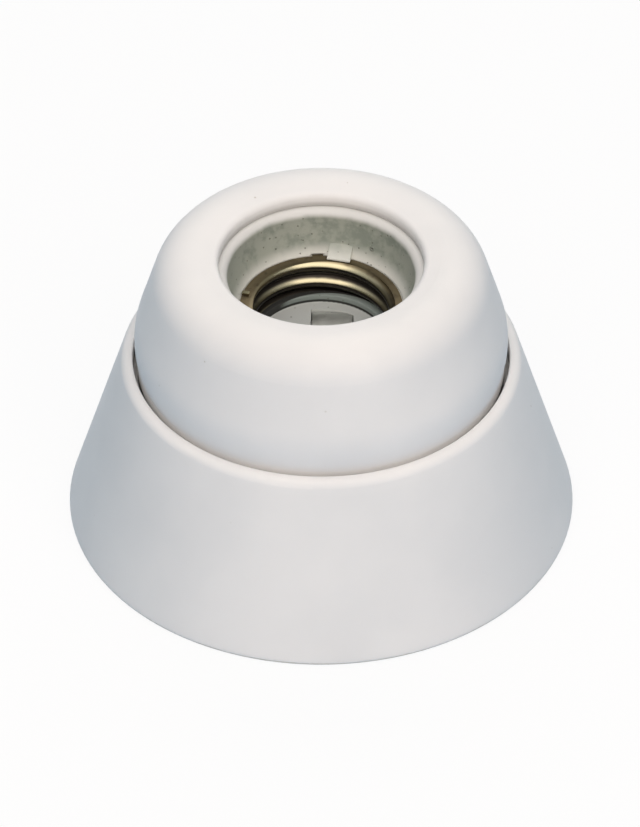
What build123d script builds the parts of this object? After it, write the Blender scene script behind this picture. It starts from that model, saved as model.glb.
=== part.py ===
from build123d import *
import os
from math import asin, atan2, ceil, cos, hypot, pi, radians, sin, tan

os.makedirs("parts", exist_ok=True)

# Porcelain lampholder for an E27 lamp, fixed flat to a ceiling or a wall.
# Millimetres. Z is the lamp axis, the mounting plane is Z = 0 and the lamp goes in from above.

# Base: a conical skirt with a rim above, and a web that carries the socket body
base_diameter = 92.0
base_height = 34.0
skirt_wall = 4.6
foot_round = 0.5
rim_width = 1.75
rim_edge = 0.25
rim_full_round = 1.9
register_depth = 4.5
register_ledge = 1.0
chamber_gap = 3.5
chamber_taper = 1.4
web_gap = 2.4
web_thickness = 6.0
cable_diameter = 14.0
edge_break = 0.8
inner_round = 1.5
round_share = 0.95  # the most of a flat that its roundings take

# Screw holes that fix the base to its ground
mount_spacing = 50.0
mount_hole_diameter = 4.8
mount_head_diameter = 9.2
mount_head_depth = 1.5
post_diameter = 12.0

# Cover: a conical ring that screws onto the socket body and nests in the base's rim
cover_rise = 22.4
cover_overhang = 1.4
cover_top_full_round = 7.7
top_slant = 9.8
cover_wall = 3.5
spigot_gap = 0.9
spigot_depth = 2.5
shoulder_height = 8.0
chamber_rise = 3.4
shoulder_gap = 0.05
mouth_diameter = 36.5
lip_round = 1.2
lip_land = 1.2
flare_height = 6.8

# Socket body: a porcelain cup with a threaded head, a lamp collar, a contact floor and two feet
seam_gap = 0.2
head_diameter = 41.0  # over the thread that the cover screws onto
head_height = 9.5
head_clearance = 0.5
head_step = 0.8
cover_thread_depth = 1.2  # of the ribs on the head and in the cover, which aren't modelled here
collar_diameter = 33.4
collar_round = 1.5
collar_land = 0.2
collar_depth = 8.5
flange_play = 0.25
shell_play = 0.25
well_inset = 0.4
well_depth = 1.55
floor_thickness = 7.2
ear_rise = 2.0
ear_edge = 0.8
foot_gap = 1.4

# Lug that holds the shell's flange down, and the recess beside it that stops the flange from turning
lug_angle = 76.6
lug_width = 4.2
lug_height = 2.6
lug_reach = 1.55
lug_nose = 0.3
lug_gap = 0.1
lug_root = 0.8
key_angle = 92.5
key_width = 2.0
key_reach = 0.5
key_play = 0.3
key_recess_height = 0.3

# Screw shell: an E27 rolled thread in thin brass
thread_pitch = 3.629
thread_diameter = 26.6
thread_depth = 1.1
thread_length = 6.89
crest_drop = 3.74  # from the flange's top down to the full crest behind the lamp axis
shell_sheet = 0.4
flange_width = 0.9
nib_angle = 165.0
nib_width = 0.8
nib_height = 0.5
nib_length = 1.3
shell_foot_width = 6.0
shell_foot_play = 0.3

# Centre contact: an arched strip in a slot of the floor, held at its root
contact_offset = 2.0
contact_width = 7.2
contact_length = 19.2
contact_sheet = 0.5
contact_sink = 0.6
contact_arch = 1.4
contact_root_edge = 0.1
contact_play = 0.3
slot_play = 0.25
slot_depth = 2.7

# Screws through the floor into the terminal blocks
contact_screw_inset = 3.0
shell_screw_gap = 0.3
contact_screw_diameter = 3.0
contact_screw_grip = 2.6
contact_head_diameter = 5.2
contact_head_height = 1.6
hole_play = 0.1  # between a screw and the hole round it, on the radius
tip_play = 0.3

# Terminal blocks under the floor
block_width = 8.0
block_height = 8.5
block_inner = 3.0
block_outer = 6.4
wire_hole_diameter = 3.0
wire_wall = 1.0
clamp_screw_offset = 3.4
clamp_screw_diameter = 3.0
clamp_head_diameter = 4.8
clamp_head_height = 1.6

# Screws, washers and nuts that hold the socket body on the web
fixing_screw_diameter = 4.0
fixing_head_diameter = 7.0
fixing_head_height = 2.6
fixing_hole_play = 0.3
washer_diameter = 8.8
washer_thickness = 0.8
washer_gap = 1.3
nut_width = 7.0
nut_height = 3.2
nut_play = 0.2
screw_tip = 1.0
driver_slot = 0.8

# Across the lamp axis, from the shell outwards
thread_major = thread_diameter / 2
thread_minor = thread_major - thread_depth
thread_mean = (thread_minor + thread_major) / 2
thread_wave = thread_depth / 2
flange_radius = thread_major + shell_sheet + flange_width
chamber_radius = thread_major + shell_sheet + shell_play
well_radius = thread_minor - well_inset
shell_foot_outer = well_radius - shell_foot_play
shell_foot_inner = shell_foot_outer - shell_sheet
collar_foot = flange_radius + flange_play
collar_radius = collar_diameter / 2
head_radius = head_diameter / 2 - cover_thread_depth
barrel_radius = head_radius - head_step
bore_radius = head_diameter / 2 + head_clearance + cover_thread_depth
ear_radius = washer_diameter / 2 + ear_edge
fixing_offset = barrel_radius + washer_gap + washer_diameter / 2
chamber_top = fixing_offset + ear_radius + chamber_gap
chamber_floor = chamber_top - chamber_taper
rim_inner = chamber_top + register_ledge
rim_outer = rim_inner + rim_width
spigot_radius = rim_inner - spigot_gap
cover_inner = spigot_radius - cover_wall
mouth_radius = mouth_diameter / 2

# Outer wall of the base, from the rim to the foot's rounding, and of the cover at the same slant
foot_reach = base_diameter / 2 - foot_round - rim_outer
foot_drop = base_height - foot_round
wall_draft = atan2(foot_reach, foot_drop) + asin(foot_round / hypot(foot_reach, foot_drop))
lean = tan(wall_draft)
corner_ratio = tan(pi / 4 + wall_draft / 2)  # rounding per length of edge at a wall's top corner
base_radius = rim_outer + base_height * lean  # before rounding
cover_top_radius = rim_inner + cover_overhang - cover_rise * lean
cover_shoulder_radius = rim_inner + cover_overhang - shoulder_height * lean

# Roundings that a narrow flat limits
rim_round = min(rim_full_round, round_share * (rim_width - rim_edge) * corner_ratio)
cover_top_width = cover_top_radius - mouth_radius - lip_round
crown_run = 1 / corner_ratio + sin(radians(top_slant))  # level run of the top's rounding per its radius
cover_top_round = min(cover_top_full_round, round_share * cover_top_width / crown_run)
cup_top_fit = min(1, round_share * (head_radius - collar_radius) / (collar_round + edge_break))
collar_edge = collar_round * cup_top_fit
head_edge = edge_break * cup_top_fit
step_edge = min(edge_break, round_share * head_step / 2)

# Crown of the cover: the corner of the wall and the slanted top, round about a centre under the highest ring
cover_top = base_height + cover_rise
crown_axis = cover_top_radius - cover_top_round / corner_ratio
crown_base = cover_top - cover_top_round
crown_turn = (pi / 2 + radians(top_slant) - wall_draft) / 2
crown_reach = cover_top_round / cos(crown_turn)
crown_corner = (
    crown_axis + crown_reach * cos(wall_draft + crown_turn),
    crown_base + crown_reach * sin(wall_draft + crown_turn),
)
lip_rise = cover_top_round / cos(radians(top_slant)) - (crown_axis - mouth_radius) * tan(radians(top_slant))
lip_top = crown_base + lip_rise

# Up the lamp axis: the socket body hangs from the cover's lip, and the web lies under the terminals
register_floor = base_height - register_depth
cover_foot = base_height - spigot_depth
cover_shoulder = base_height + shoulder_height
chamber_ceiling = base_height + chamber_rise
lip_foot = lip_top - lip_round - lip_land
cup_top = lip_foot - seam_gap
head_foot = cup_top - head_height
flange_top = cup_top - collar_depth
flange_ledge = flange_top - shell_sheet
seat = flange_top - thread_length
floor = seat - well_depth
cup_foot = floor - floor_thickness
ear_top = cup_foot + ear_rise
washer_top = ear_top + washer_thickness
web_top = cup_foot - block_height - clamp_head_height - web_gap
web_height = web_top - web_thickness

# Contact, terminals and fixings
contact_top = floor - contact_sink
contact_under = contact_top - contact_sheet
contact_end = contact_length / 2
contact_fold = contact_screw_inset + contact_head_diameter / 2 + contact_root_edge - contact_end
root_pad = contact_under - contact_play
contact_hole = contact_screw_diameter / 2 + hole_play
contact_screw_length = contact_top + contact_play - cup_foot + contact_screw_grip
shell_screw_offset = shell_foot_inner - shell_screw_gap - contact_head_diameter / 2
live_site = (contact_offset, contact_screw_inset - contact_end)
neutral_site = (-shell_screw_offset, 0)
tapped_depth = contact_screw_grip + tip_play
wire_hole_drop = tapped_depth + wire_wall + wire_hole_diameter / 2
wire_hole_floor = wire_hole_drop + wire_hole_diameter / 2
foot_inner = shell_screw_offset + block_outer + foot_gap
fixing_spacing = 2 * fixing_offset
fixing_hole = fixing_screw_diameter / 2 + fixing_hole_play


def turned(corners):
    """Ring turned about Z from a closed half section of (radius, height, rounding) corners."""
    with BuildPart() as blank:
        with BuildSketch(Plane.XZ):
            with BuildLine():
                points = [(radius, height) for radius, height, rounding in corners]
                FilletPolyline(points, radius=[rounding for _, _, rounding in corners], close=True)
            make_face()
        revolve(axis=Axis.Z)
    return blank.part


def turned_with_arc(corners):
    """As turned, but an arc that runs on smoothly from the last corner closes the section at the first."""
    with BuildPart() as blank:
        with BuildSketch(Plane.XZ):
            with BuildLine():
                points = [(radius, height) for radius, height, rounding in corners]
                outline = FilletPolyline(points, radius=[rounding for _, _, rounding in corners[1:-1]])
                TangentArc(outline @ 1, outline @ 0, tangent=outline % 1)
            make_face()
        revolve(axis=Axis.Z)
    return blank.part


def radial_plane(angle):
    """Upright plane through the lamp axis whose X points out at the angle and whose Y points up."""
    out = (cos(radians(angle)), sin(radians(angle)), 0)
    return Plane(origin=(0, 0, 0), x_dir=out, z_dir=(out[1], -out[0], 0))


def slotted_screw(plane, shank_diameter, shank_length, head_diameter, head_height):
    """Cheese-head screw whose head stands on the plane and whose shank runs down from it."""
    with BuildPart() as screw:
        with BuildSketch(plane):
            Circle(head_diameter / 2)
        extrude(amount=head_height)
        crown = screw.edges().group_by(Axis(plane.origin, plane.z_dir))[-1]
        fillet(crown, radius=head_height / 4)
        with BuildSketch(plane.offset(head_height)):
            Rectangle(head_diameter, driver_slot)
        extrude(amount=-head_height / 2, mode=Mode.SUBTRACT)
        with BuildSketch(plane):
            Circle(shank_diameter / 2)
        extrude(amount=-shank_length)
    return screw.part


def terminal_plane(site):
    """Plane on the socket body's underside at a contact screw, whose X points away from the lamp axis."""
    across = abs(site[0]) > abs(site[1])
    outward = (-1, 0, 0) if across else (0, -1, 0)
    return Plane(origin=(site[0], site[1], cup_foot), x_dir=outward, z_dir=(0, 0, 1))


def terminal_block(site):
    """Brass block hung on a contact screw, with a wire hole through it and a clamp screw's hole below."""
    plane = terminal_plane(site)
    with BuildPart() as block:
        with BuildSketch(plane):
            with Locations(((block_outer - block_inner) / 2, 0)):
                RectangleRounded(block_inner + block_outer, block_width, edge_break)
        extrude(amount=-block_height)
        with BuildSketch(plane):
            Circle(contact_hole)
        extrude(amount=-tapped_depth, mode=Mode.SUBTRACT)
        with BuildSketch(plane.offset(-block_height)):
            with Locations((clamp_screw_offset, 0)):
                Circle(clamp_screw_diameter / 2 + hole_play)
        extrude(amount=block_height - wire_hole_drop, mode=Mode.SUBTRACT)
        wire_plane = Plane(
            origin=plane.from_local_coords((-block_inner, 0, -wire_hole_drop)),
            x_dir=(0, 0, 1),
            z_dir=plane.x_dir,
        )
        with BuildSketch(wire_plane):
            Circle(wire_hole_diameter / 2)
        extrude(amount=block_inner + block_outer, mode=Mode.SUBTRACT)
    return block.part


# Base
with BuildPart() as base:
    add(
        turned(
            [
                (base_radius - skirt_wall, 0, edge_break),
                (base_radius, 0, foot_round),
                (rim_outer, base_height, rim_round),
                (rim_inner, base_height, rim_edge),
                (rim_inner, register_floor, 0),
                (chamber_top, register_floor, rim_edge),
                (chamber_floor, web_top, inner_round),
                (cable_diameter / 2, web_top, edge_break),
                (cable_diameter / 2, web_height, edge_break),
                (base_radius - web_height * lean - skirt_wall, web_height, inner_round),
            ]
        )
    )
    with BuildSketch(Plane.XY):
        with GridLocations(0, mount_spacing, 1, 2):
            Circle(post_diameter / 2)
    extrude(amount=web_height + web_thickness / 2)
    with Locations((0, 0, web_top)):
        with GridLocations(0, mount_spacing, 1, 2):
            CounterBoreHole(mount_hole_diameter / 2, mount_head_diameter / 2, mount_head_depth)
        with GridLocations(fixing_spacing, 0, 2, 1):
            Hole(fixing_hole)
    with BuildSketch(Plane.XY.offset(web_height)):
        with GridLocations(fixing_spacing, 0, 2, 1):
            RegularPolygon(nut_width / 2 + nut_play, 6, major_radius=False)
    extrude(amount=nut_height, mode=Mode.SUBTRACT)
base.part.label = "base"
export_step(base.part, "parts/base.step")

# Cover
with BuildPart() as cover:
    add(
        turned_with_arc(
            [
                (spigot_radius, base_height + shoulder_gap, 0),
                (spigot_radius, cover_foot, rim_edge),
                (cover_inner, cover_foot, rim_edge),
                (cover_inner, chamber_ceiling, inner_round),
                (bore_radius, chamber_ceiling + flare_height, inner_round),
                (bore_radius, lip_foot, 0),
                (mouth_radius, lip_foot, 0),
                (mouth_radius, lip_top, lip_round),
                (*crown_corner, cover_top_round),
                (cover_shoulder_radius, cover_shoulder, 0),
            ]
        )
    )
cover.part.label = "cover"
export_step(cover.part, "parts/cover.step")

# Socket body
with BuildPart() as socket_body:
    add(
        turned_with_arc(
            [
                (collar_foot, flange_top, 0),
                (collar_foot, flange_ledge, 0),
                (chamber_radius, flange_ledge, 0),
                (chamber_radius, seat, 0),
                (well_radius, seat, rim_edge),
                (well_radius, floor, rim_edge),
                (0, floor, 0),
                (0, cup_foot, 0),
                (barrel_radius, cup_foot, edge_break),
                (barrel_radius, head_foot, step_edge),
                (head_radius, head_foot, step_edge),
                (head_radius, cup_top, head_edge),
                (collar_radius, cup_top, collar_edge),
                (collar_radius, cup_top - collar_edge - collar_land, 0),
            ]
        )
    )
    # Lug and key recess
    with BuildSketch(radial_plane(lug_angle)):
        lug_foot = flange_top + lug_gap
        with BuildLine():
            Polyline(
                (collar_foot - lug_reach, lug_foot),
                (collar_radius + lug_root, lug_foot),
                (collar_radius + lug_root, lug_foot + lug_height),
                (collar_radius, lug_foot + lug_height),
                (collar_foot - lug_reach, lug_foot + lug_nose),
                close=True,
            )
        make_face()
    extrude(amount=lug_width / 2, both=True)
    key_out = (cos(radians(key_angle)), sin(radians(key_angle)), 0)
    key_plane = Plane(origin=(0, 0, flange_ledge), x_dir=key_out, z_dir=(0, 0, 1))
    with BuildSketch(key_plane):
        with Locations((flange_radius, 0)):
            Rectangle(2 * (key_reach + key_play), key_width + 2 * key_play)
    extrude(amount=shell_sheet + key_recess_height, mode=Mode.SUBTRACT)
    # Slot for the contact, deep where the strip bends and shallow under its root
    with BuildSketch(Plane.XY.offset(floor)):
        with Locations((contact_offset, 0)):
            Rectangle(contact_width + 2 * slot_play, contact_length + 2 * slot_play)
        Circle(contact_end + slot_play, mode=Mode.INTERSECT)
    extrude(amount=root_pad - floor, mode=Mode.SUBTRACT)
    with BuildSketch(Plane.XY.offset(floor)):
        with Locations((contact_offset, contact_fold + contact_play)):
            Rectangle(contact_width + 2 * slot_play, contact_length, align=(Align.CENTER, Align.MIN))
        Circle(contact_end + slot_play, mode=Mode.INTERSECT)
    extrude(amount=-slot_depth, mode=Mode.SUBTRACT)
    with Locations((*live_site, floor), (*neutral_site, floor)):
        Hole(contact_hole)
    # Feet on the web, beside the cup
    with BuildSketch(Plane.XY.offset(web_top)):
        for side in (-1, 1):
            with Locations((side * fixing_offset, 0)):
                Circle(ear_radius)
            with Locations((side * (foot_inner + fixing_offset) / 2, 0)):
                Rectangle(fixing_offset - foot_inner, 2 * ear_radius)
    extrude(amount=ear_top - web_top)
    with Locations((0, 0, ear_top)):
        with GridLocations(fixing_spacing, 0, 2, 1):
            Hole(fixing_hole)
socket_body.part.label = "socket_body"
export_step(socket_body.part, "parts/socket_body.step")

# Screw shell: a disc that is carried once round a small helix for each pitch rolls each side of the thread
crest = flange_top - crest_drop
quarter_turn = 0.25  # from the helix's start to the crest behind the lamp axis
turns_below = ceil((crest - seat) / thread_pitch + quarter_turn)
turns_above = ceil(crest_drop / thread_pitch)
thread_start = crest + thread_pitch * (quarter_turn - turns_below)


def rolled_thread(radius):
    """Solid thread of the radius about a helix, longer at both ends than the shell."""
    with BuildPart() as thread:
        with BuildLine():
            roll = Helix(
                thread_pitch,
                thread_pitch * (turns_below + turns_above),
                thread_wave,
                center=(0, 0, thread_start),
            )
        with BuildSketch(Plane.XY.offset(thread_start)):
            with Locations((thread_wave, 0)):
                Circle(radius)
        sweep(path=roll, normal=(0, 0, 1))
    return thread.part


with BuildPart() as screw_shell:
    add(rolled_thread(thread_mean + shell_sheet))
    with BuildSketch(Plane.XY.offset(seat)):
        Circle(flange_radius)
    extrude(amount=thread_length, mode=Mode.INTERSECT)
    # Flange with its key, opened by the thread's inside, and a nib bent up from it
    with BuildSketch(Plane.XY.offset(flange_ledge)):
        Circle(flange_radius)
        with Locations((flange_radius * cos(radians(key_angle)), flange_radius * sin(radians(key_angle)))):
            Rectangle(2 * key_reach, key_width, rotation=key_angle)
    extrude(amount=shell_sheet)
    add(rolled_thread(thread_mean), mode=Mode.SUBTRACT)
    with BuildSketch(radial_plane(nib_angle)):
        with Locations((flange_radius - nib_length, flange_ledge)):
            Rectangle(nib_length, shell_sheet + nib_height, align=(Align.MIN, Align.MIN))
    extrude(amount=nib_width / 2, both=True)
    # Foot that steps down from the thread's end to the floor, under its screw
    with BuildSketch(Plane.XY.offset(seat)):
        Circle(thread_major)
        Circle(shell_foot_inner, mode=Mode.SUBTRACT)
        Rectangle(thread_major, shell_foot_width, align=(Align.MAX, Align.CENTER), mode=Mode.INTERSECT)
    extrude(amount=shell_sheet)
    with BuildSketch(Plane.XY.offset(floor)):
        Circle(shell_foot_outer)
        Circle(shell_foot_inner, mode=Mode.SUBTRACT)
        Rectangle(thread_major, shell_foot_width, align=(Align.MAX, Align.CENTER), mode=Mode.INTERSECT)
    extrude(amount=well_depth + shell_sheet)
    with BuildSketch(Plane.XY.offset(floor)):
        Circle(shell_foot_outer)
        with Locations((-shell_screw_offset, 0)):
            Rectangle(
                shell_foot_outer,
                shell_foot_width,
                align=(Align.MAX, Align.CENTER),
                mode=Mode.INTERSECT,
            )
            Circle(shell_foot_width / 2)
            Circle(contact_hole, mode=Mode.SUBTRACT)
    extrude(amount=shell_sheet)
screw_shell.part.label = "screw_shell"
export_step(screw_shell.part, "parts/screw_shell.step")

# Centre contact
with BuildPart() as centre_contact:
    with BuildSketch(Plane.YZ.offset(contact_offset)):
        with BuildLine():
            Line((-contact_end, contact_top), (contact_fold, contact_top))
            ThreePointArc(
                (contact_fold, contact_top),
                ((contact_fold + contact_end) / 2, contact_top + contact_arch),
                (contact_end, contact_top),
            )
            offset(amount=contact_sheet, side=Side.RIGHT)
        make_face()
    extrude(amount=contact_width / 2, both=True)
    with BuildSketch(Plane.XY.offset(contact_under - contact_arch)):
        Circle(contact_end)
    extrude(amount=contact_sheet + 2 * contact_arch, mode=Mode.INTERSECT)
    with Locations((*live_site, contact_top)):
        Hole(contact_screw_diameter / 2 + contact_play)
centre_contact.part.label = "centre_contact"
export_step(centre_contact.part, "parts/centre_contact.step")

# Screws at the contact's root and the shell's foot
contact_screw_sizes = (
    contact_screw_diameter,
    contact_screw_length,
    contact_head_diameter,
    contact_head_height,
)
with BuildPart() as contact_screws:
    add(slotted_screw(Plane((*live_site, contact_top + contact_play)), *contact_screw_sizes))
    add(slotted_screw(Plane((*neutral_site, floor + shell_sheet)), *contact_screw_sizes))
contact_screws.part.label = "contact_screws"
export_step(contact_screws.part, "parts/contact_screws.step")

# Terminal blocks
with BuildPart() as live_terminal:
    add(terminal_block(live_site))
live_terminal.part.label = "live_terminal"
export_step(live_terminal.part, "parts/live_terminal.step")

with BuildPart() as neutral_terminal:
    add(terminal_block(neutral_site))
neutral_terminal.part.label = "neutral_terminal"
export_step(neutral_terminal.part, "parts/neutral_terminal.step")

# Clamp screws, driven up from below to the edge of the wire hole
with BuildPart() as terminal_screws:
    for site in (live_site, neutral_site):
        block_plane = terminal_plane(site)
        clamp_point = block_plane.from_local_coords((clamp_screw_offset, 0, -block_height))
        add(
            slotted_screw(
                Plane(origin=clamp_point, x_dir=block_plane.x_dir, z_dir=(0, 0, -1)),
                clamp_screw_diameter,
                block_height - wire_hole_floor,
                clamp_head_diameter,
                clamp_head_height,
            )
        )
terminal_screws.part.label = "terminal_screws"
export_step(terminal_screws.part, "parts/terminal_screws.step")

# Screws, washers and nuts that fix the socket body
with BuildPart() as fixing_screws:
    for side in (-1, 1):
        add(
            slotted_screw(
                Plane((side * fixing_offset, 0, washer_top)),
                fixing_screw_diameter,
                washer_top - web_height + screw_tip,
                fixing_head_diameter,
                fixing_head_height,
            )
        )
fixing_screws.part.label = "fixing_screws"
export_step(fixing_screws.part, "parts/fixing_screws.step")

with BuildPart() as fixing_washers:
    with BuildSketch(Plane.XY.offset(ear_top)):
        with GridLocations(fixing_spacing, 0, 2, 1):
            Circle(washer_diameter / 2)
            Circle(fixing_screw_diameter / 2 + hole_play, mode=Mode.SUBTRACT)
    extrude(amount=washer_thickness)
fixing_washers.part.label = "fixing_washers"
export_step(fixing_washers.part, "parts/fixing_washers.step")

with BuildPart() as fixing_nuts:
    with BuildSketch(Plane.XY.offset(web_height)):
        with GridLocations(fixing_spacing, 0, 2, 1):
            RegularPolygon(nut_width / 2, 6, major_radius=False)
            Circle(fixing_screw_diameter / 2 + hole_play, mode=Mode.SUBTRACT)
    extrude(amount=nut_height)
fixing_nuts.part.label = "fixing_nuts"
export_step(fixing_nuts.part, "parts/fixing_nuts.step")
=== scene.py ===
"""Looks of a porcelain lampholder: its finishes, the cover's thread, the light and the camera."""

from __future__ import annotations

import logging
import math
from dataclasses import dataclass, field
from enum import Enum
from typing import Any, Optional, Union

import bmesh
import bpy
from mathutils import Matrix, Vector

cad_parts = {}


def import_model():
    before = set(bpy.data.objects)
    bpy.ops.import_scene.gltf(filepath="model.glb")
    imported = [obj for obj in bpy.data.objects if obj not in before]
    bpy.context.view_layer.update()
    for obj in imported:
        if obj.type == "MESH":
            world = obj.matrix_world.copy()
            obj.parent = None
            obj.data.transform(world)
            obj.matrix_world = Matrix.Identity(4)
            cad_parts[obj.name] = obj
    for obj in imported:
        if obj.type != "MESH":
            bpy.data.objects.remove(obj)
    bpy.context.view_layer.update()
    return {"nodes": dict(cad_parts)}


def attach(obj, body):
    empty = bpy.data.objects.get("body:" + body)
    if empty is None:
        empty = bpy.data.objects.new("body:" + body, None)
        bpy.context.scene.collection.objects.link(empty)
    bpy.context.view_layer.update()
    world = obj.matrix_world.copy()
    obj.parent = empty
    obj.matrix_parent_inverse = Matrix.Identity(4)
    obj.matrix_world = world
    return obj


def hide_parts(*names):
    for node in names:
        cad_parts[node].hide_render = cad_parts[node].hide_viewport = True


log = logging.getLogger("lampholder")

MM = 0.001
PHOTO_HEIGHT = 827.0
SENSOR = 36.0
MERGE_DISTANCE = 0.0005 * MM
NOISE_MEAN = 0.5
WHITE = (1.0, 1.0, 1.0)
# Sockets of a Mix node that blends colours.
MIX_FIRST = 6
MIX_SECOND = 7
MIX_RESULT = 2
# Softness of a speck's edge and of the choice of its cell, as shares of their limits.
SPECK_EDGE = 0.3
CHANCE_EDGE = 0.1
# Points of a rib's section and of each of its turns.
SECTION_POINTS = 21
TURN_POINTS = 120
# Share of a rib that each end fades over, and how thin it gets there.
RIB_FADE = 0.12
RIB_END = 0.04

Triple = tuple[float, float, float]
Colour = Triple
# Where a mask is 0, and where it is 1.
Span = tuple[float, float]


class Signal:
    """Output socket of a node, whose operators add Math nodes to the same tree."""

    def __init__(self, graph: "Graph", socket: Optional[bpy.types.NodeSocket]) -> None:
        """Keeps the graph and the socket."""
        self.graph = graph
        self.socket = socket

    def also(self, output: Union[str, int]) -> "Signal":
        """Another output of the same node."""
        return Signal(self.graph, self.socket.node.outputs[output])

    def _math(self, operation: str, first: "Value", second: "Value") -> "Signal":
        """Adds one Math node."""
        return self.graph.node("ShaderNodeMath", {"operation": operation}, {0: first, 1: second})

    def __add__(self, other: "Value") -> "Signal":
        """Sum."""
        return self._math("ADD", self, other)

    def __radd__(self, other: "Value") -> "Signal":
        """Sum, with a number first."""
        return self._math("ADD", other, self)

    def __sub__(self, other: "Value") -> "Signal":
        """Difference."""
        return self._math("SUBTRACT", self, other)

    def __rsub__(self, other: "Value") -> "Signal":
        """Difference, with a number first."""
        return self._math("SUBTRACT", other, self)

    def __mul__(self, other: "Value") -> "Signal":
        """Product."""
        return self._math("MULTIPLY", self, other)

    def __rmul__(self, other: "Value") -> "Signal":
        """Product, with a number first."""
        return self._math("MULTIPLY", other, self)

    def __truediv__(self, other: "Value") -> "Signal":
        """Quotient."""
        return self._math("DIVIDE", self, other)

    def __pow__(self, other: "Value") -> "Signal":
        """Power."""
        return self._math("POWER", self, other)


Value = Union[Signal, float, int, bool, str, Colour, bpy.types.ID]


class Graph:
    """Node tree that is written as expressions."""

    def __init__(self, tree: bpy.types.NodeTree) -> None:
        """Keeps the tree."""
        self.tree = tree

    def node(
        self,
        kind: str,
        settings: Optional[dict[str, Any]] = None,
        sockets: Optional[dict[Union[str, int], Value]] = None,
        output: Union[str, int] = 0,
    ) -> Signal:
        """Adds a node of any kind.

        Args:
            kind: The node's type.
            settings: Its own properties, set before its sockets.
            sockets: Values or links of its inputs, by name or number.
            output: The output to go on with.

        Returns:
            That output, or an empty signal for a node without outputs.
        """
        made = self.tree.nodes.new(kind)
        for name, value in (settings or {}).items():
            setattr(made, name, value)
        for key, value in (sockets or {}).items():
            self.feed(made.inputs[key], value)
        return Signal(self, made.outputs[output] if len(made.outputs) else None)

    def feed(self, target: bpy.types.NodeSocket, value: Value) -> None:
        """Links or sets one input socket.

        Args:
            target: The socket.
            value: A signal to link, or a plain value.
        """
        if isinstance(value, Signal):
            self.tree.links.new(value.socket, target)
        elif target.type == "RGBA" and len(value) == 3:
            target.default_value = (*value, 1.0)
        else:
            target.default_value = value

    def smooth(self, value: Value, low: float, high: float) -> Signal:
        """Eases a value from 0 at low to 1 at high; low may be the larger of the two.

        Args:
            value: The value.
            low: Where the result is 0.
            high: Where the result is 1.

        Returns:
            The eased value.
        """
        return self.node(
            "ShaderNodeMapRange",
            {"interpolation_type": "SMOOTHSTEP"},
            {"Value": value, "From Min": low, "From Max": high},
        )


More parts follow.
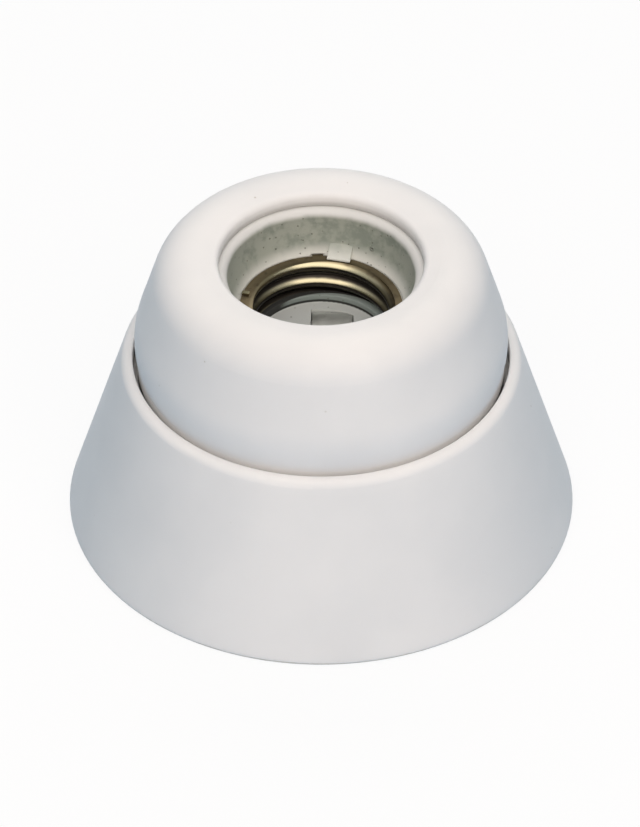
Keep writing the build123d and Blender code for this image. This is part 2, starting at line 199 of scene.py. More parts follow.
class Finish(Graph):
    """Material whose nodes read the piece's own coordinates."""

    def __init__(self, name: str) -> None:
        """Starts an empty material.

        Args:
            name: The material's name.
        """
        self.material = bpy.data.materials.new(name)
        self.material.use_nodes = True
        self.material.node_tree.nodes.clear()
        super().__init__(self.material.node_tree)
        self.place = self.node("ShaderNodeTexCoord", output="Object")
        self.x = self.node("ShaderNodeSeparateXYZ", sockets={0: self.place}, output="X")
        self.y = self.x.also("Y")
        self.z = self.x.also("Z")

    def radius(self) -> Signal:
        """Distance from the lamp axis."""
        return (self.x * self.x + self.y * self.y) ** 0.5

    def away_from(self, point: Triple) -> Signal:
        """Distance from a fixed point."""
        ends = {0: self.place, 1: point}
        return self.node("ShaderNodeVectorMath", {"operation": "DISTANCE"}, ends, "Value")

    def stretched(self, scale: Triple) -> Signal:
        """The piece's coordinates, stretched along the axes."""
        return self.node("ShaderNodeMapping", sockets={"Vector": self.place, "Scale": scale})

    def noise(self, scale: float, detail: float = 2.0, place: Optional[Signal] = None) -> Signal:
        """Soft random value about 0.5.

        Args:
            scale: Waves in a metre.
            detail: Octaves above the first.
            place: Coordinates, if not the piece's own.

        Returns:
            The noise.
        """
        return self.node(
            "ShaderNodeTexNoise",
            sockets={"Vector": place or self.place, "Scale": scale, "Detail": detail},
        )

    @staticmethod
    def swing(noise: Signal, amount: float) -> Signal:
        """Noise that swings about 0 instead of its mean."""
        return (noise - NOISE_MEAN) * amount

    def specks(self, scale: float, size: float, share: float) -> Signal:
        """Round spots in some of the cells of a random pattern.

        Args:
            scale: Cells in a metre.
            size: A spot's radius in metres.
            share: The share of the cells with a spot.

        Returns:
            1 inside a spot and 0 outside.
        """
        sockets = {"Vector": self.place, "Scale": scale}
        cells = self.node("ShaderNodeTexVoronoi", sockets=sockets, output="Distance")
        chance = self.node("ShaderNodeSeparateColor", sockets={0: cells.also("Color")})
        chosen = self.smooth(chance, share * (1.0 + CHANCE_EDGE), share * (1.0 - CHANCE_EDGE))
        reach = size * scale
        spot = self.smooth(cells, reach * (1.0 + SPECK_EDGE), reach * (1.0 - SPECK_EDGE))
        return chosen * spot

    def mix(self, factor: Value, first: Value, second: Value) -> Signal:
        """Blend of two colours; a factor of 0 gives the first and 1 the second."""
        sockets = {0: factor, MIX_FIRST: first, MIX_SECOND: second}
        return self.node("ShaderNodeMix", {"data_type": "RGBA"}, sockets, MIX_RESULT)

    def layered(self, ground: Value, *layers: tuple[Signal, Value]) -> Value:
        """Colours laid over a ground.

        Args:
            ground: The lowest colour.
            layers: A mask and a colour each, from the lowest up.

        Returns:
            The colour on top.
        """
        for mask, colour in layers:
            ground = self.mix(mask, ground, colour)
        return ground

    def bump(self, height: Signal, distance: float, under: Optional[Signal] = None) -> Signal:
        """Surface normal of a height.

        Args:
            height: Heights from 0 to 1.
            distance: What 1 stands for, in metres.
            under: Another bump that this one lies on.

        Returns:
            The normal.
        """
        sockets: dict[Union[str, int], Value] = {
            "Height": height,
            "Distance": distance,
            "Strength": 1.0,
        }
        if under is not None:
            sockets["Normal"] = under
        return self.node("ShaderNodeBump", sockets=sockets)

    def surface(self, sockets: dict[Union[str, int], Value]) -> bpy.types.Material:
        """Ends the material in a principled shader.

        Args:
            sockets: The shader's inputs.

        Returns:
            The material.
        """
        shader = self.node("ShaderNodeBsdfPrincipled", sockets=sockets)
        self.node("ShaderNodeOutputMaterial", sockets={"Surface": shader})
        return self.material

    def metal(self, colour: Value, roughness: Value, normal: Signal) -> bpy.types.Material:
        """Ends the material as bare metal.

        Args:
            colour: The metal's colour.
            roughness: Its roughness.
            normal: Its surface normal.

        Returns:
            The material.
        """
        return self.surface(
            {"Base Color": colour, "Metallic": 1.0, "Roughness": roughness, "Normal": normal}
        )


@dataclass(frozen=True)
class PorcelainGlaze:
    """Satin white glaze with a few pinholes, painted shade inside the cover's lip, and wiped off the
    foot.
    """

    name: str = "porcelain_glaze"
    colour: Colour = (0.83, 0.82, 0.805)
    cloud_colour: Colour = (0.79, 0.785, 0.775)
    cloud_scale: float = 42.0
    cloud: Span = (0.35, 0.7)
    ripple_scale: float = 420.0
    ripple_height: float = 0.012 * MM
    speck_colour: Colour = (0.50, 0.46, 0.40)
    speck_scale: float = 240.0
    speck_size: float = 0.2 * MM
    speck_share: float = 0.18
    speck_strength: float = 0.55
    speck_depth: float = 0.05 * MM
    bare_colour: Colour = (0.66, 0.62, 0.55)
    bare: Span = (0.80 * MM, 0.65 * MM)
    bare_edge_scale: float = 160.0
    bare_edge: float = 0.5 * MM
    # Painted shade on the cover's inner lip, above the socket's collar.
    lip_shade_colour: Colour = (0.40, 0.38, 0.35)
    lip_shade_radius: Span = (19.6 * MM, 19.2 * MM)
    lip_shade_top: Span = (54.65 * MM, 53.45 * MM)
    lip_shade_foot: Span = (52.95 * MM, 53.15 * MM)
    lip_shade_strength: float = 0.6
    roughness: float = 0.48
    roughness_spread: float = 0.14
    bare_roughness: float = 0.9
    specular: float = 0.08
    translucency: float = 0.7
    light_depth: float = 1.6 * MM
    light_spread: Triple = (1.0, 1.0, 1.0)

    def material(self) -> bpy.types.Material:
        """Makes the glaze.

        Returns:
            The material.
        """
        finish = Finish(self.name)
        cloud = finish.smooth(finish.noise(self.cloud_scale, detail=3.0), *self.cloud)
        ripple = finish.noise(self.ripple_scale, detail=2.0)
        speck = finish.specks(self.speck_scale, self.speck_size, self.speck_share)
        edge = finish.noise(self.bare_edge_scale, detail=3.0) * self.bare_edge
        bare = finish.smooth(finish.z + edge, *self.bare)
        # Painted shade on the cover's inner lip.
        lip_shade = (
            finish.smooth(finish.z, *self.lip_shade_top)
            * finish.smooth(finish.z, *self.lip_shade_foot)
            * finish.smooth(finish.radius(), *self.lip_shade_radius)
        )
        colour = finish.layered(
            self.colour,
            (cloud, self.cloud_colour),
            (speck * self.speck_strength, self.speck_colour),
            (bare, self.bare_colour),
            (lip_shade * self.lip_shade_strength, self.lip_shade_colour),
        )
        glazed = self.roughness + finish.swing(ripple, self.roughness_spread)
        waves = finish.bump(ripple, self.ripple_height)
        return finish.surface(
            {
                "Base Color": colour,
                "Roughness": glazed + bare * (self.bare_roughness - self.roughness),
                "Specular IOR Level": self.specular,
                "Subsurface Weight": self.translucency,
                "Subsurface Scale": self.light_depth,
                "Subsurface Radius": self.light_spread,
                "Normal": finish.bump(1.0 - speck, self.speck_depth, waves),
            }
        )


@dataclass(frozen=True)
class PressedPorcelain:
    """Porcelain of the socket body, white on its rim and outside, grey and pitted inside, with painted
    shade and a band of painted light in the well.
    """

    name: str = "pressed_porcelain"
    colour: Colour = (0.70, 0.695, 0.67)
    # Greys of the inside, here and below down to the floor: the body's own grey, darkened further as
    # painted shade of the deep well.
    dull: Colour = (0.265, 0.295, 0.25)
    pale_dull: Colour = (0.38, 0.40, 0.345)
    cloud_scale: float = 170.0
    ripple_scale: float = 620.0
    ripple_height: float = 0.03 * MM
    mottle: Span = (0.82, 1.22)
    pale_side: Span = (2.0 * MM, -10.0 * MM)
    pale_lift: float = 0.14
    edge: float = 0.8 * MM
    inner_radius: Span = (17.7 * MM, 16.9 * MM)
    inner_top: Span = (52.7 * MM, 51.5 * MM)
    inner_foot: Span = (32.4 * MM, 32.8 * MM)
    # Painted light: a pale band low on the collar's wall, where its lower edge turns up towards the
    # lamps, leaning with x.
    lit_band_colour: Colour = (0.74, 0.74, 0.69)
    foot: Span = (47.4 * MM, 44.5 * MM)
    lit_band_lean: float = 0.02
    cup_colour: Colour = (0.25, 0.29, 0.275)
    cup: Span = (44.2 * MM, 43.8 * MM)
    # Painted shade: a near-black band on the ledge beside the shell's lower edge, reaching further in
    # towards -x.
    ledge_shade_colour: Colour = (0.035, 0.036, 0.034)
    ledge_shade: Span = (12.3 * MM, 12.5 * MM)
    ledge_shade_lean: float = 0.09
    # Painted shade: a near-black ring on the well's wall just above its floor.
    well_shade_colour: Colour = (0.03, 0.032, 0.03)
    well_shade: Span = (37.01 * MM, 36.71 * MM)
    floor_colour: Colour = (0.52, 0.54, 0.525)
    floor: Span = (36.41 * MM, 36.27 * MM)
    pit_colour: Colour = (0.13, 0.125, 0.10)
    pit_scale: float = 900.0
    pit_size: float = 0.14 * MM
    pit_share: float = 0.8
    pit_strength: float = 0.6
    pit_depth: float = 0.12 * MM
    blister: Triple = (9.14 * MM, 13.20 * MM, 47.35 * MM)
    blister_radius: float = 0.5 * MM
    blister_height: float = 0.25 * MM
    dome: Span = (1.0, 0.6)
    crater: Span = (0.6, 0.2)
    crater_strength: float = 0.5
    roughness: float = 0.5
    inner_roughness: float = 0.12
    roughness_spread: float = 0.2
    specular: float = 0.3

    def material(self) -> bpy.types.Material:
        """Makes the porcelain.

        Returns:
            The material.
        """
        finish = Finish(self.name)
        cloud = finish.noise(self.cloud_scale, detail=4.0)
        ripple = finish.noise(self.ripple_scale, detail=4.0)
        height = finish.z + finish.swing(cloud, self.edge)
        inner = (
            finish.smooth(finish.radius(), *self.inner_radius)
            * finish.smooth(height, *self.inner_top)
            * finish.smooth(finish.z, *self.inner_foot)
        )
        pits = finish.specks(self.pit_scale, self.pit_size, self.pit_share) * inner
        ring = finish.away_from(self.blister) / self.blister_radius
        dome = finish.smooth(ring, *self.dome)
        crater = finish.smooth(ring, *self.crater)
        colour = finish.layered(
            self.colour,
            (inner, self._inside(finish, cloud + ripple, height)),
            (pits * self.pit_strength, self.pit_colour),
            (crater * self.crater_strength, self.pit_colour),
        )
        pressed = self.roughness + inner * self.inner_roughness
        waves = finish.bump(ripple, self.ripple_height)
        pitted = finish.bump(1.0 - pits, self.pit_depth, waves)
        return finish.surface(
            {
                "Base Color": colour,
                "Roughness": pressed + finish.swing(ripple, self.roughness_spread),
                "Specular IOR Level": self.specular,
                "Normal": finish.bump(dome - crater, self.blister_height, pitted),
            }
        )

    def _inside(self, finish: Finish, grain: Signal, height: Signal) -> Value:
        """Colour of the inside, from the mottled wall down to the contact floor: the body's grey
        darkened as painted shade, a band of painted light low on the collar, and near-black painted
        shade on the ledge and in the well's corner.

        Args:
            finish: The material's nodes.
            grain: Noise about 1.
            height: The height, uneven enough to fray an edge.

        Returns:
            The colour.
        """
        mottle = grain + finish.smooth(finish.x, *self.pale_side) * self.pale_lift
        cup = finish.smooth(finish.z, *self.cup)
        ledge_shade = finish.smooth(finish.radius() - finish.x * self.ledge_shade_lean, *self.ledge_shade)
        return finish.layered(
            self.dull,
            (finish.smooth(mottle, *self.mottle), self.pale_dull),
            # Painted light on the collar's lower band.
            (finish.smooth(height - finish.x * self.lit_band_lean, *self.foot), self.lit_band_colour),
            # The chamber and the ledge below the collar, darkened as painted shade.
            (cup, self.cup_colour),
            # Painted shade on the ledge beside the shell.
            (cup * ledge_shade, self.ledge_shade_colour),
            # Painted shade in the well's corner.
            (finish.smooth(finish.z, *self.well_shade), self.well_shade_colour),
            (finish.smooth(finish.z, *self.floor), self.floor_colour),
        )


@dataclass(frozen=True)
class RolledBrass:
    """Thin rolled brass, with a painted highlight on the flanks of its thread and a painted glint at
    the nib; brown to black elsewhere, the black being painted shade in the roots and on the crest tips,
    with oxide stains.
    """

    name: str = "rolled_brass"
    # bright is the painted highlight's colour.
    bright: Colour = (0.32, 0.295, 0.20)
    dull: Colour = (0.15, 0.122, 0.075)
    # oxide is both the painted shade of the roots and crest tips and the colour of the oxide stains.
    oxide_and_shade: Colour = (0.03, 0.026, 0.022)
    cloud_scale: float = 260.0
    edge: float = 0.1 * MM
    # The painted highlight lies between the flank and tip radii.
    flank: Span = (13.05 * MM, 12.62 * MM)
    # Inside tip the crest tips keep the painted shade.
    tip: Span = (12.24 * MM, 12.36 * MM)
    # The painted highlight is full at the back of the shell and weaker towards the front.
    back_highlight: Span = (3.0 * MM, 11.5 * MM)
    front_highlight_share: float = 0.25
    mouth: Span = (43.7 * MM, 44.1 * MM)
    # Painted glint at the nib, above this height.
    nib_glint: Span = (44.75 * MM, 44.90 * MM)
    flange: Span = (13.5 * MM, 13.7 * MM)
    stain_scale: float = 520.0
    stain: Span = (0.5, 0.72)
    stain_strength: float = 0.5
    roughness: float = 0.34
    highlight_roughness: float = -0.08
    flange_roughness: float = 0.12
    stain_roughness: float = 0.12
    grain_height: float = 0.004 * MM

    def material(self) -> bpy.types.Material:
        """Makes the brass.

        Returns:
            The material.
        """
        finish = Finish(self.name)
        radius = finish.radius()
        cloud = finish.noise(self.cloud_scale, detail=4.0)
        back_highlight = finish.smooth(finish.y, *self.back_highlight) * (1.0 - self.front_highlight_share)
        # Painted highlight on the thread's flanks, where they would catch the lamps.
        rolled = (
            finish.smooth(radius + finish.swing(cloud, self.edge), *self.flank)
            * finish.smooth(radius, *self.tip)
            * (self.front_highlight_share + back_highlight)
        )
        # Painted glint at the nib.
        nib_glint = finish.smooth(finish.z, *self.nib_glint)
        painted_highlight = rolled + nib_glint * (1.0 - rolled)
        flange = finish.smooth(radius, *self.flange) * (1.0 - nib_glint)
        spots = finish.smooth(finish.noise(self.stain_scale, detail=3.0), *self.stain)
        stain = spots * (1.0 - painted_highlight)
        colour = finish.layered(
            self.oxide_and_shade,
            (finish.smooth(finish.z, *self.mouth), self.dull),
            (painted_highlight, self.bright),
            (flange, self.dull),
            (stain * self.stain_strength, self.oxide_and_shade),
        )
        roughness = (
            self.roughness
            + painted_highlight * self.highlight_roughness
            + flange * self.flange_roughness
            + stain * self.stain_roughness
        )
        return finish.metal(colour, roughness, finish.bump(cloud, self.grain_height))


@dataclass(frozen=True)
class SpringMetal:
    """Grey plated strip, rubbed bright where the lamp's tip lands."""

    name: str = "spring_metal"
    colour: Colour = (0.66, 0.67, 0.65)
    rubbed_colour: Colour = (0.76, 0.75, 0.70)
    stain_colour: Colour = (0.40, 0.40, 0.38)
    cloud_scale: float = 330.0
    edge: float = 1.5 * MM
    rubbed: Span = (3.52 * MM, 1.32 * MM)
    rubbed_strength: float = 0.7
    stain: Span = (0.45, 0.75)
    stain_strength: float = 0.6
    line_scale: float = 900.0
    line_stretch: Triple = (1.0, 0.08, 1.0)
    line_height: float = 0.008 * MM
    roughness: float = 0.5
    rubbed_roughness: float = -0.15
    roughness_spread: float = 0.2

    def material(self) -> bpy.types.Material:
        """Makes the plated metal.

        Returns:
            The material.
        """
        finish = Finish(self.name)
        cloud = finish.noise(self.cloud_scale, detail=4.0)
        rubbed = finish.smooth(finish.radius() + finish.swing(cloud, self.edge), *self.rubbed)
        colour = finish.layered(
            self.colour,
            (finish.smooth(cloud, *self.stain) * self.stain_strength, self.stain_colour),
            (rubbed * self.rubbed_strength, self.rubbed_colour),
        )
        lengthwise = finish.stretched(self.line_stretch)
        lines = finish.noise(self.line_scale, detail=2.0, place=lengthwise)
        plated = self.roughness + rubbed * self.rubbed_roughness
        roughness = plated + finish.swing(lines, self.roughness_spread)
        return finish.metal(colour, roughness, finish.bump(lines, self.line_height))


@dataclass(frozen=True)
class TurnedMetal:
    """Machined metal with fine tool marks and some stains."""

    name: str
    colour: Colour
    stain_colour: Colour
    roughness: float = 0.36
    mark_scale: float = 700.0
    mark_stretch: Triple = (1.0, 1.0, 6.0)
    mark_height: float = 0.007 * MM
    stain_scale: float = 240.0
    stain: Span = (0.48, 0.74)
    stain_strength: float = 0.6
    stain_roughness: float = 0.2
    roughness_spread: float = 0.18

    def material(self) -> bpy.types.Material:
        """Makes the machined metal.

        Returns:
            The material.
        """
        finish = Finish(self.name)
        flattened = finish.stretched(self.mark_stretch)
        marks = finish.noise(self.mark_scale, detail=3.0, place=flattened)
        stain = finish.smooth(finish.noise(self.stain_scale, detail=4.0), *self.stain)
        colour = finish.mix(stain * self.stain_strength, self.colour, self.stain_colour)
        turned = self.roughness + stain * self.stain_roughness
        roughness = turned + finish.swing(marks, self.roughness_spread)
        return finish.metal(colour, roughness, finish.bump(marks, self.mark_height))


class ThreadSide(Enum):
    """Which way a thread's ribs stand from its root."""

    OUTWARD = 1.0
    INWARD = -1.0


class RibTree:
    """Geometry nodes of a round rib that climbs a cylinder and fades out at both ends."""

    def __init__(self) -> None:
        """Builds the tree once, with its sizes as named inputs."""
        self.tree = bpy.data.node_groups.new("porcelain_rib", "GeometryNodeTree")
        for name in ("Radius", "Pitch", "Turns", "Width", "Depth", "Bottom", "Sink"):
            self.tree.interface.new_socket(name, in_out="INPUT", socket_type="NodeSocketFloat")
        self.tree.interface.new_socket("Material", in_out="INPUT", socket_type="NodeSocketMaterial")
        self.tree.interface.new_socket("Geometry", in_out="OUTPUT", socket_type="NodeSocketGeometry")
        graph = Graph(self.tree)
        given = graph.node("NodeGroupInput", output="Radius")
        section = self._section(graph, given)
        path = self._path(graph, given)
        rib = graph.node(
            "GeometryNodeCurveToMesh",
            sockets={"Curve": path, "Profile Curve": section, "Fill Caps": True},
        )
        real = graph.node("GeometryNodeRealizeInstances", sockets={"Geometry": rib})
        dressed = graph.node(
            "GeometryNodeSetMaterial",
            sockets={"Geometry": real, "Material": given.also("Material")},
        )
        graph.node("NodeGroupOutput", sockets={"Geometry": dressed})

    @staticmethod
    def _section(graph: Graph, given: Signal) -> Signal:
        """Closed section of the rib, which swells as a cosine does.

        Args:
            graph: The tree's graph.
            given: The group's inputs.

        Returns:
            The section's curve.
        """
        half = given.also("Width") * 0.5
        low = graph.node("ShaderNodeCombineXYZ", sockets={"Y": half * -1.0})
        high = graph.node("ShaderNodeCombineXYZ", sockets={"Y": half})
        line = graph.node("GeometryNodeCurvePrimitiveLine", sockets={"Start": low, "End": high})
        fine = graph.node("GeometryNodeResampleCurve", sockets={"Curve": line, "Count": SECTION_POINTS})
        along = graph.node("GeometryNodeSplineParameter", output="Factor")
        wave = graph.node("ShaderNodeMath", {"operation": "COSINE"}, {0: along * (2.0 * math.pi)})
        swell = (0.5 - wave * 0.5) * given.also("Depth") - given.also("Sink")
        lift = graph.node("ShaderNodeCombineXYZ", sockets={"X": swell})
        bent = graph.node("GeometryNodeSetPosition", sockets={"Geometry": fine, "Offset": lift})
        return graph.node("GeometryNodeSetSplineCyclic", sockets={"Geometry": bent, "Cyclic": True})

    @staticmethod
    def _path(graph: Graph, given: Signal) -> Signal:
        """Helix at the thread's root, thin at both ends.

        Args:
            graph: The tree's graph.
            given: The group's inputs.

        Returns:
            The path's curve.
        """
        spiral = graph.node(
            "GeometryNodeCurveSpiral",
            sockets={
                "Resolution": TURN_POINTS,
                "Rotations": given.also("Turns"),
                "Start Radius": given,
                "End Radius": given,
                "Height": given.also("Pitch") * given.also("Turns"),
            },
        )
        lift = graph.node("ShaderNodeCombineXYZ", sockets={"Z": given.also("Bottom")})
        raised = graph.node("GeometryNodeSetPosition", sockets={"Geometry": spiral, "Offset": lift})
        along = graph.node("GeometryNodeSplineParameter", output="Factor")
        fade = graph.smooth(along, 0.0, RIB_FADE) * graph.smooth(along, 1.0, 1.0 - RIB_FADE)
        thick = graph.node(
            "GeometryNodeSetCurveRadius",
            sockets={"Curve": raised, "Radius": fade * (1.0 - RIB_END) + RIB_END},
        )
        return graph.node("GeometryNodeSetCurveNormal", {"mode": "Z_UP"}, {"Curve": thick})

    def make(self, name: str, sizes: dict[str, Any]) -> bpy.types.Object:
        """Turns the tree's result into a plain mesh object.

        Args:
            name: The new object's name.
            sizes: The group's inputs by name.

        Returns:
            The object, at the origin.
        """
        carrier = bpy.data.objects.new(name + "_carrier", bpy.data.meshes.new(name + "_carrier"))
        bpy.context.scene.collection.objects.link(carrier)
        modifier = carrier.modifiers.new("rib", "NODES")
        modifier.node_group = self.tree
        for item in self.tree.interface.items_tree:
            if item.in_out == "INPUT":
                modifier[item.identifier] = sizes[item.name]
        graph = bpy.context.evaluated_depsgraph_get()
        mesh = bpy.data.meshes.new_from_object(carrier.evaluated_get(graph), depsgraph=graph)
        carrier.modifiers.remove(modifier)
        bpy.data.objects.remove(carrier)
        mesh.name = name
        self._close(mesh)
        made = bpy.data.objects.new(name, mesh)
        bpy.context.scene.collection.objects.link(made)
        return made

    @staticmethod
    def _close(mesh: bpy.types.Mesh) -> None:
        """Merges doubles, points the faces outwards and shades all but the end caps smooth.

        Args:
            mesh: The rib, changed in place.
        """
        work = bmesh.new()
        work.from_mesh(mesh)
        bmesh.ops.remove_doubles(work, verts=work.verts, dist=MERGE_DISTANCE)
        bmesh.ops.recalc_face_normals(work, faces=work.faces)
        for face in work.faces:
            # Only the caps have more than four corners.
            face.smooth = len(face.verts) == 4
        work.to_mesh(mesh)
        work.free()


@dataclass
class CoverThread:
    """Coarse porcelain thread between the socket body's head and the cover's bore."""

    pitch: float = 4.0 * MM
    width: float = 2.6 * MM
    depth: float = 1.2 * MM
    turns: float = 1.3
    head_root: float = 19.3 * MM
    bore_root: float = 22.2 * MM
    head_bottom: float = 45.3 * MM
    bore_bottom: float = 46.2 * MM
    sink: float = 0.05 * MM

    def build(self, head: bpy.types.Material, bore: bpy.types.Material) -> None:
        """Makes the rib on the head and the rib in the bore.

        Args:
            head: The socket body's material.
            bore: The cover's material.
        """
        ribs = RibTree()
        outward, inward = ThreadSide.OUTWARD, ThreadSide.INWARD
        self._rib(
            ribs, "socket_thread", "holder", outward, self.head_root, self.head_bottom, head
        )
        self._rib(ribs, "cover_thread", "cover", inward, self.bore_root, self.bore_bottom, bore)

    def _rib(
        self,
        ribs: RibTree,
        name: str,
        body: str,
        side: ThreadSide,
        root: float,
        bottom: float,
        glaze: bpy.types.Material,
    ) -> None:
        """Makes one rib and lets it ride on its body.

        Args:
            ribs: The nodes that make it.
            name: The piece's name.
            body: The body that carries it.
            side: Which way it stands.
            root: Radius of the surface that it stands on.
            bottom: Height of its lower end.
            glaze: Its material.
        """
        piece = ribs.make(
            name,
            {
                "Radius": root,
                "Pitch": self.pitch,
                "Turns": self.turns,
                "Width": self.width,
                "Depth": self.depth * side.value,
                "Bottom": bottom,
                "Sink": self.sink * side.value,
                "Material": glaze,
            },
        )
        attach(piece, body)
        log.info("%s: %d faces on %s", name, len(piece.data.polygons), body)


@dataclass
class LampShell:
    """Rolled brass shell, its thread turned until the crests lie where the photograph has them."""

    name: str = "lamp_shell"
    pitch: float = 3.629 * MM
    mean_radius: float = 12.75 * MM
    wave: float = 0.55 * MM
    sheet: float = 0.4 * MM
    crest: float = 40.908 * MM
    drop: float = 1.0 * MM
    tolerance: float = 0.03 * MM
    sharp_angle: float = 35.0

    def build(self, node: bpy.types.Object, brass: bpy.types.Material) -> None:
        """Makes the shell from a merged copy of its node.

        Args:
            node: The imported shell.
            brass: Its material.
        """
        work = bmesh.new()
        work.from_mesh(node.data)
        bmesh.ops.remove_doubles(work, verts=work.verts, dist=MERGE_DISTANCE)
        turned = sum(self._turn(vertex.co) for vertex in work.verts)
        for face in work.faces:
            face.smooth = True
        mesh = bpy.data.meshes.new(self.name)
        work.to_mesh(mesh)
        work.free()
        if "custom_normal" in mesh.attributes:
            mesh.attributes.remove(mesh.attributes["custom_normal"])
        mesh.set_sharp_from_angle(angle=math.radians(self.sharp_angle))
        mesh.materials.append(brass)
        shell = bpy.data.objects.new(self.name, mesh)
        bpy.context.scene.collection.objects.link(shell)
        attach(shell, "holder")
        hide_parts(node.name)
        log.info("%s: %d points of its thread turned", self.name, turned)

    def _turn(self, place: Vector) -> bool:
        """Moves a point of the thread's inside or outside to the turned thread.

        Args:
            place: The point, changed in place.

        Returns:
            Whether it belongs to the thread. Any other point is left.
        """
        radius = math.hypot(place.x, place.y)
        for mean in (self.mean_radius, self.mean_radius + self.sheet):
            if abs(radius - self._radius(place, mean, 0.0)) < self.tolerance:
                scale = self._radius(place, mean, self.drop) / radius
                place.x *= scale
                place.y *= scale
                return True
        return False

    def _radius(self, place: Vector, mean: float, drop: float) -> float:
        """Radius of the thread beside a point.

        Args:
            place: The point.
            mean: Radius of the disc that rolls the thread.
            drop: How far the crests are lowered.

        Returns:
            The radius.
        """
        lead = 2.0 * math.pi * (place.z + drop - self.crest) / self.pitch
        angle = math.atan2(place.y, place.x) + math.pi / 2 - lead
        across = math.sqrt(mean**2 - (self.wave * math.sin(angle)) ** 2)
        return self.wave * math.cos(angle) + across


@dataclass
class Lampholder:
    """The holder's own pieces, each in its finish."""

    nodes: dict[str, bpy.types.Object]
    glaze: PorcelainGlaze = PorcelainGlaze()
    pressing: PressedPorcelain = PressedPorcelain()
    shell: RolledBrass = RolledBrass()
    contact: SpringMetal = SpringMetal()
    lamp_shell: LampShell = field(default_factory=LampShell)
    brass: TurnedMetal = TurnedMetal("turned_brass", (0.62, 0.50, 0.26), (0.30, 0.22, 0.11))
    steel: TurnedMetal = TurnedMetal(
        "zinc_steel", (0.58, 0.59, 0.58), (0.34, 0.33, 0.29), roughness=0.42
    )
    thread: CoverThread = field(default_factory=CoverThread)

    def build(self) -> None:
        """Dresses every piece, turns the shell's thread and adds the cover's thread."""
        porcelain = self.glaze.material()
        pressed = self.pressing.material()
        self._dress(porcelain, "base", "cover")
        self._dress(pressed, "socket_body")
        self.lamp_shell.build(self.nodes["screw_shell"], self.shell.material())
        self._dress(self.contact.material(), "centre_contact")
        brass = self.brass.material()
        self._dress(brass, "contact_screws", "live_terminal", "neutral_terminal", "terminal_screws")
        self._dress(self.steel.material(), "fixing_screws", "fixing_washers", "fixing_nuts")
        self.thread.build(pressed, porcelain)

    def _dress(self, material: bpy.types.Material, *names: str) -> None:
        """Gives pieces a finish.

        Args:
            material: The finish.
            names: The pieces.
        """
        for name in names:
            self.nodes[name].data.materials.clear()
            self.nodes[name].data.materials.append(material)
            log.info("%s: %s", name, material.name)


@dataclass(frozen=True)
class SoftLamp:
    """Soft box that points at the object."""

    name: str
    azimuth: float
    elevation: float
    distance: float
    width: float
    height: float
    level: float
    colour: Colour

    def hang(self, target: Vector) -> None:
        """Makes the lamp.

        Args:
            target: What it points at. A white face turned to it there renders at its level.
        """
        turn, rise = math.radians(self.azimuth), math.radians(self.elevation)
        flat = Vector((math.sin(turn), -math.cos(turn), 0.0))
        back = flat * math.cos(rise) + Vector((0.0, 0.0, math.sin(rise)))
        light = bpy.data.lights.new(self.name, "AREA")
        light.shape = "RECTANGLE"
        light.size = self.width
        light.size_y = self.height
        light.color = self.colour
        light.energy = self.level * (math.pi * self.distance) ** 2
        lamp = bpy.data.objects.new(self.name, light)
        lamp.location = target + back * self.distance
        lamp.rotation_mode = "QUATERNION"
        lamp.rotation_quaternion = back.to_track_quat("Z", "Y")
        bpy.context.scene.collection.objects.link(lamp)


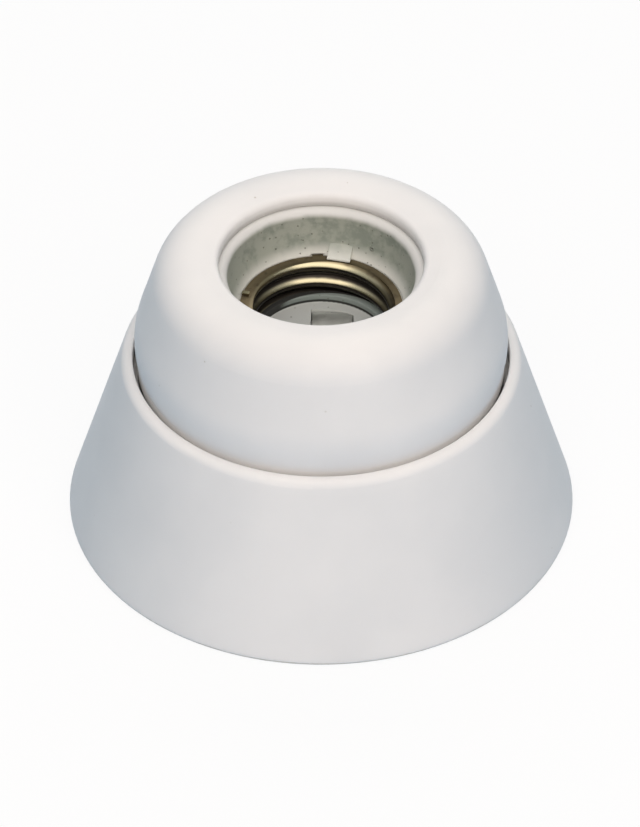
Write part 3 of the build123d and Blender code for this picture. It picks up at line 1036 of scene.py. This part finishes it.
@dataclass
class Studio:
    """Pale floor, soft lamps and the camera at the photograph's angle."""

    target: Vector = field(default_factory=lambda: Vector((0.0, 0.0, 25.0 * MM)))
    camera_distance: float = 1108.0 * MM
    camera_elevation: float = 39.87
    focal_pixels: float = 6137.0
    right_pixels: float = 1.2
    up_pixels: float = 22.1
    floor_size: float = 12.0
    floor_drop: float = 0.05 * MM
    paper_colour: Colour = (0.88, 0.88, 0.88)
    paper_glow: float = 0.88
    floor_bounce: Colour = (0.27, 0.42, 0.55)
    ambient: Colour = (0.04, 0.10, 0.16)
    # Name, azimuth, elevation, distance, width, height, level and colour of each.
    lamps: tuple[SoftLamp, ...] = (
        SoftLamp("top_box", 0.0, 80.0, 1.1, 2.0, 1.4, 0.55, (1.0, 0.93, 0.86)),
        SoftLamp("high_front_box", 5.0, 50.0, 1.2, 1.6, 0.9, 0.73, (1.0, 0.87, 0.77)),
        SoftLamp("front_box", 8.0, 11.0, 1.2, 1.4, 0.4, 0.25, (1.0, 0.86, 0.80)),
        SoftLamp("back_box", 180.0, 40.0, 1.3, 1.6, 0.9, 0.48, (1.0, 0.92, 0.85)),
    )

    def build(self) -> None:
        """Makes the floor, the light and the camera."""
        self._floor()
        self._world()
        for lamp in self.lamps:
            lamp.hang(self.target)
        self._camera()
        bpy.context.scene.view_settings.view_transform = "Standard"

    @staticmethod
    def _seen(graph: Graph) -> Signal:
        """Tells the rays that show the backdrop from those that light the object.

        Args:
            graph: The nodes of the floor or the world.

        Returns:
            1 for a ray that shows it, straight or in metal, and 0 for any other.
        """
        path = graph.node("ShaderNodeLightPath", output="Is Camera Ray")
        shown = path + path.also("Is Glossy Ray") + path.also("Is Transmission Ray")
        return graph.node("ShaderNodeMath", {"operation": "MINIMUM"}, {0: shown, 1: 1.0})

    def _floor(self) -> None:
        """Lays a pale floor that looks white, keeps a faint shadow and throws a cool light back up."""
        finish = Finish("floor_paper")
        matt = finish.node("ShaderNodeBsdfDiffuse", sockets={"Color": self.paper_colour})
        white = finish.node("ShaderNodeEmission", sockets={"Color": WHITE, "Strength": 1.0})
        paper = finish.node("ShaderNodeMixShader", sockets={0: self.paper_glow, 1: matt, 2: white})
        cool = finish.node("ShaderNodeBsdfDiffuse", sockets={"Color": self.floor_bounce})
        looks = {0: self._seen(finish), 1: cool, 2: paper}
        floor_look = finish.node("ShaderNodeMixShader", sockets=looks)
        finish.node("ShaderNodeOutputMaterial", sockets={"Surface": floor_look})
        half = self.floor_size / 2
        mesh = bpy.data.meshes.new("floor")
        corners = [(-half, -half), (half, -half), (half, half), (-half, half)]
        mesh.from_pydata([(x, y, -self.floor_drop) for x, y in corners], [], [(0, 1, 2, 3)])
        mesh.materials.append(finish.material)
        floor = bpy.data.objects.new("floor", mesh)
        bpy.context.scene.collection.objects.link(floor)

    def _world(self) -> None:
        """Sets a dim sky that shows as white."""
        world = bpy.data.worlds.new("studio")
        world.use_nodes = True
        world.node_tree.nodes.clear()
        graph = Graph(world.node_tree)
        dim = graph.node("ShaderNodeBackground", sockets={"Color": self.ambient, "Strength": 1.0})
        white = graph.node("ShaderNodeBackground", sockets={"Color": WHITE, "Strength": 1.0})
        sky = graph.node("ShaderNodeMixShader", sockets={0: self._seen(graph), 1: dim, 2: white})
        graph.node("ShaderNodeOutputWorld", sockets={"Surface": sky})
        bpy.context.scene.world = world

    def _camera(self) -> None:
        """Puts the camera where the photograph was taken from."""
        rise = math.radians(self.camera_elevation)
        back = Vector((0.0, -math.cos(rise), math.sin(rise)))
        lens = bpy.data.cameras.new("camera")
        lens.sensor_width = SENSOR
        lens.lens = self.focal_pixels * SENSOR / PHOTO_HEIGHT
        lens.shift_x = -self.right_pixels / PHOTO_HEIGHT
        lens.shift_y = -self.up_pixels / PHOTO_HEIGHT
        camera = bpy.data.objects.new("camera", lens)
        camera.location = self.target + back * self.camera_distance
        camera.rotation_mode = "QUATERNION"
        camera.rotation_quaternion = back.to_track_quat("Z", "Y")
        bpy.context.scene.collection.objects.link(camera)
        bpy.context.scene.camera = camera


def main() -> None:
    """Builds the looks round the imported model."""
    logging.basicConfig(level=logging.INFO, format="%(name)s %(message)s")
    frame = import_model()
    Lampholder(frame["nodes"]).build()
    Studio().build()


if __name__ == "__main__":
    main()
